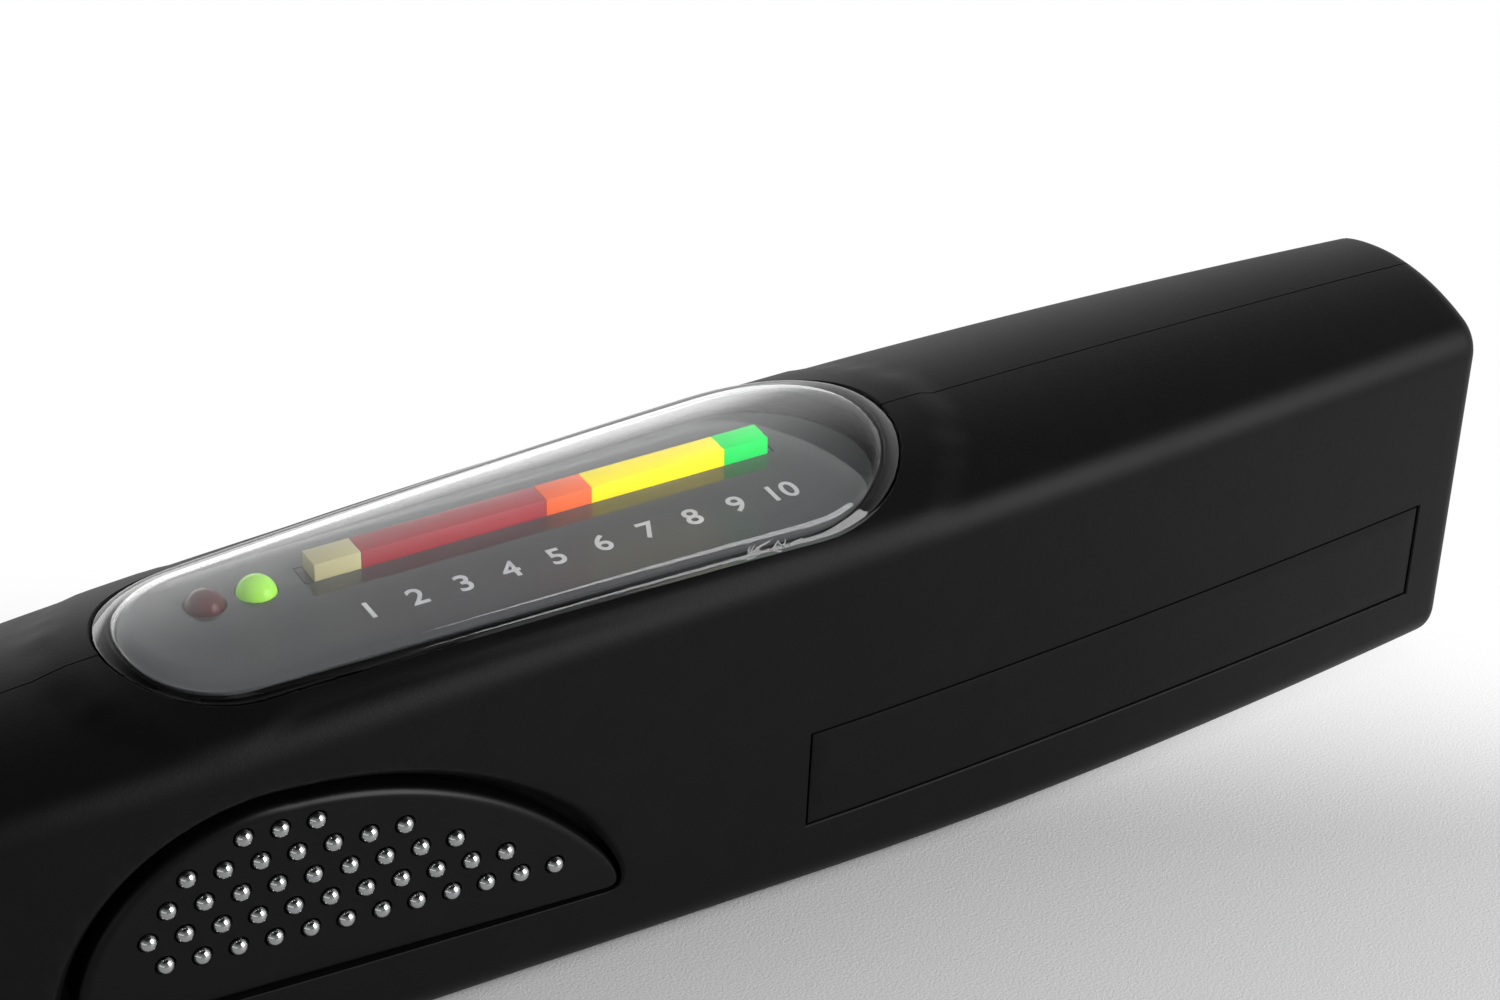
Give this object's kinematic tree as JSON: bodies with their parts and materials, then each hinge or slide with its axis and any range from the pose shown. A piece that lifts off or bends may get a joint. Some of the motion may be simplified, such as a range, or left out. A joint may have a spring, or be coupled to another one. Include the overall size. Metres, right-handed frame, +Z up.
{
  "type": "diamond tester",
  "caption": "Hand-held battery-powered diamond tester: spring-loaded metal probe, domed window over a light bar, side grip pads with metal contact domes, push button and sliding battery door.",
  "frame": {"origin": "on the surface the tester lies on, under the middle of its length and width", "axes": "+X from the probe to the rear end, +Y to its right side, +Z up from the flat underside"},
  "size_m": [0.178, 0.0249, 0.0344],
  "materials": {
    "body_plastic": "fine-textured moulded black",
    "nose_plastic": "fine-textured moulded black",
    "lens_clear": "clear, polished",
    "panel_gloss": "glossy dark grey",
    "block_pale": "translucent pale yellow",
    "block_red": "translucent red",
    "block_orange": "translucent orange",
    "block_yellow": "translucent yellow",
    "block_green": "translucent green",
    "led_green": "translucent green, lit",
    "led_red": "translucent dark red, off",
    "pad_satin": "satin black",
    "contact_chrome": "polished",
    "board_green": "glass-fibre board with solder mask",
    "chip_black": "moulded black",
    "inner_white": "moulded off-white",
    "steel": "drawn",
    "screw_black": "black zinc",
    "copper": "drawn, slightly dull",
    "cell_wrap": "plastic film over steel",
    "button_plastic": "satin dark grey"
  },
  "bodies": {
    "housing": {"left_shell": "body_plastic", "right_shell": "body_plastic", "nose_cone": "nose_plastic", "lens_cover": "lens_clear", "display_panel": "panel_gloss", "display_frame": "chip_black", "light_bar_body": "inner_white", "light_blocks_pale": "block_pale", "light_blocks_red": "block_red", "light_blocks_orange": "block_orange", "light_blocks_yellow": "block_yellow", "light_blocks_green": "block_green", "ready_light": "led_green", "battery_light": "led_red", "circuit_board": "board_green", "controller_chip": "chip_black", "amplifier_chip": "chip_black", "buzzer": "chip_black", "tact_switch": "steel", "left_grip_pad": "pad_satin", "right_grip_pad": "pad_satin", "left_contact_plate": "contact_chrome", "right_contact_plate": "contact_chrome", "probe_sleeve": "steel", "probe_carrier": "inner_white", "probe_spring": "steel", "lower_cell": "cell_wrap", "upper_cell": "cell_wrap", "front_contacts": "steel", "rear_contact": "steel", "battery_springs": "steel", "case_screws": "screw_black"},
    "probe": {"probe_tip": "copper"},
    "button": {"power_button": "button_plastic", "switch_plunger": "inner_white"},
    "door": {"battery_door": "body_plastic"}
  },
  "joints": [
    {"name": "probe_slide", "type": "slide", "parent": "housing", "child": "probe", "axis": [1, 0, 0], "range_m": [0, 0.0015], "stiffness_N_per_m": 400, "deforming": ["probe_spring"]},
    {"name": "button_slide", "type": "slide", "parent": "housing", "child": "button", "axis": [0, -1, 0], "range_m": [0, 0.0006], "stiffness_N_per_m": 800},
    {"name": "door_slide", "type": "slide", "parent": "housing", "child": "door", "axis": [1, 0, 0], "range_m": [0, 0.045]}
  ]
}
